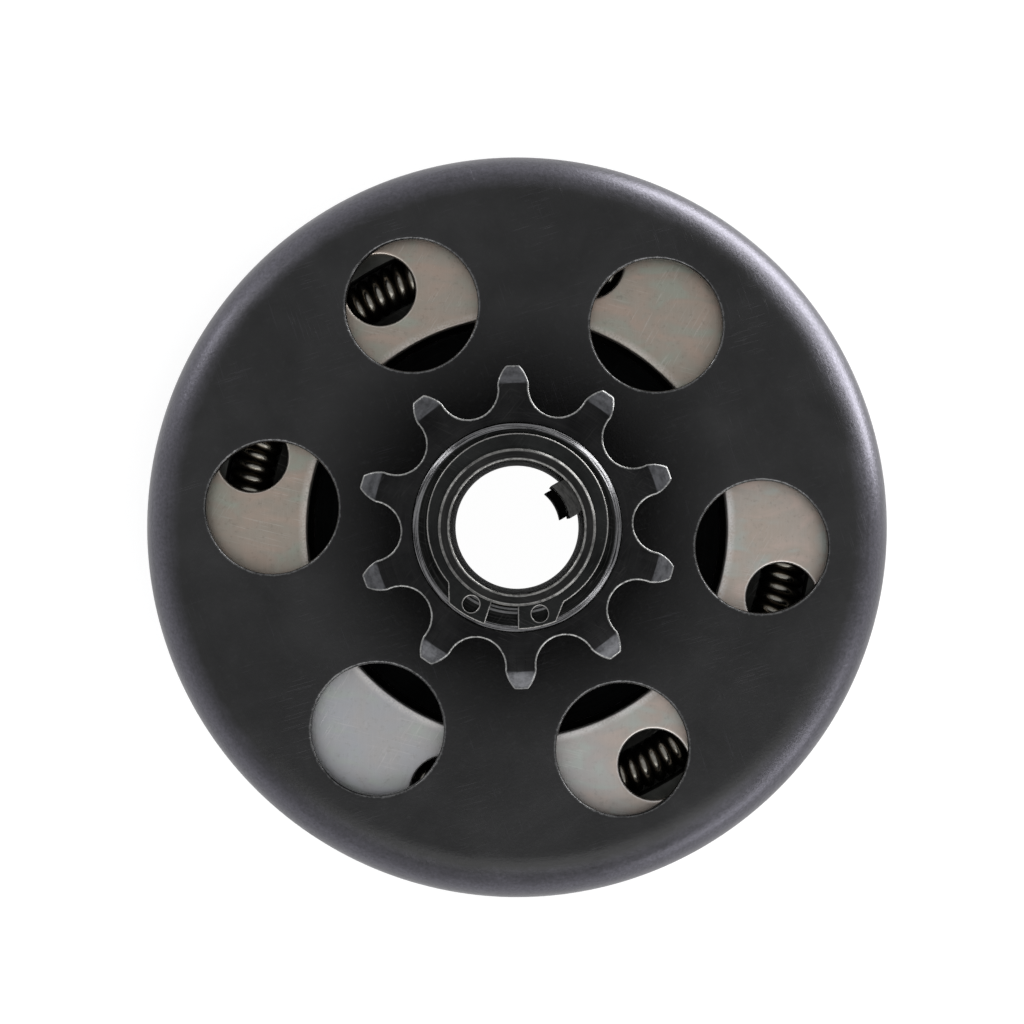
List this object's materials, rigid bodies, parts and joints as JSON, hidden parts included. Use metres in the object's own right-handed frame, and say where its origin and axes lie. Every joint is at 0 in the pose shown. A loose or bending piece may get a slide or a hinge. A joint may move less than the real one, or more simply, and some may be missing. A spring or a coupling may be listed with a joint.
{
  "type": "centrifugal clutch",
  "caption": "Dry centrifugal clutch for a small engine: a ported round drum with a toothed chain sprocket turns on a keyed hub and is driven by lined shoes held in by a coil spring ring.",
  "frame": {"origin": "on the axis of the crankshaft bore, at the driver hub's rear face, on which the part stands", "axes": "+Z along the bore's axis, out of the sprocket side; +X to the right and +Y up in the pictured view, which looks along -Z"},
  "size_m": [0.11, 0.11, 0.0539],
  "materials": {
    "oiled_steel": "turned steel, dark oiled",
    "spring_ring_steel": "phosphated spring steel",
    "washer_steel": "hardened steel, oiled",
    "plate_black": "black phosphate",
    "spider_steel": "sintered steel, oiled",
    "drum_black": "satin black oxide, worn lighter on the rounded corner",
    "sprocket_steel": "hardened steel, black oxide, worn bright on its edges",
    "bronze": "oil-filled sintered bronze",
    "zinc_plate": "zinc plated, fine scratches",
    "core_steel": "plain steel",
    "lining": "moulded friction lining",
    "rivet_steel": "zinc plated",
    "coil_steel": "oiled spring wire"
  },
  "bodies": {
    "driver": {"driver_hub": "oiled_steel", "snap_ring": "spring_ring_steel", "front_thrust_washer": "washer_steel", "rear_thrust_washer": "washer_steel", "backing_plate": "plate_black", "drive_spider": "spider_steel", "spider_rivets": "rivet_steel"},
    "drum": {"clutch_drum": "drum_black", "sprocket": "sprocket_steel", "sprocket_bushing": "bronze"},
    "shoe_a": {"shoe_a_front_plate": "zinc_plate", "shoe_a_inner_spacer": "zinc_plate", "shoe_a_outer_spacer": "zinc_plate", "shoe_a_core": "core_steel", "shoe_a_rear_plate": "zinc_plate", "shoe_a_rivets": "rivet_steel", "shoe_a_lining": "lining", "garter_spring_a": "coil_steel"},
    "shoe_b": {"shoe_b_front_plate": "zinc_plate", "shoe_b_inner_spacer": "zinc_plate", "shoe_b_outer_spacer": "zinc_plate", "shoe_b_core": "core_steel", "shoe_b_rear_plate": "zinc_plate", "shoe_b_rivets": "rivet_steel", "shoe_b_lining": "lining", "garter_spring_b": "coil_steel"}
  },
  "joints": [
    {"name": "drum_spin", "type": "hinge", "parent": "driver", "child": "drum", "pos_m": [0, 0, 0.04], "axis": [0, 0, 1], "continuous": true},
    {"name": "shoe_a_slide", "type": "slide", "parent": "driver", "child": "shoe_a", "axis": [-0.5, 0.866, 0], "range_m": [0, 0.0011], "stiffness_N_per_m": 5000, "springref_m": -0.0015},
    {"name": "shoe_b_slide", "type": "slide", "parent": "driver", "child": "shoe_b", "axis": [0.5, -0.866, 0], "range_m": [0, 0.0011], "stiffness_N_per_m": 5000, "springref_m": -0.0015}
  ]
}
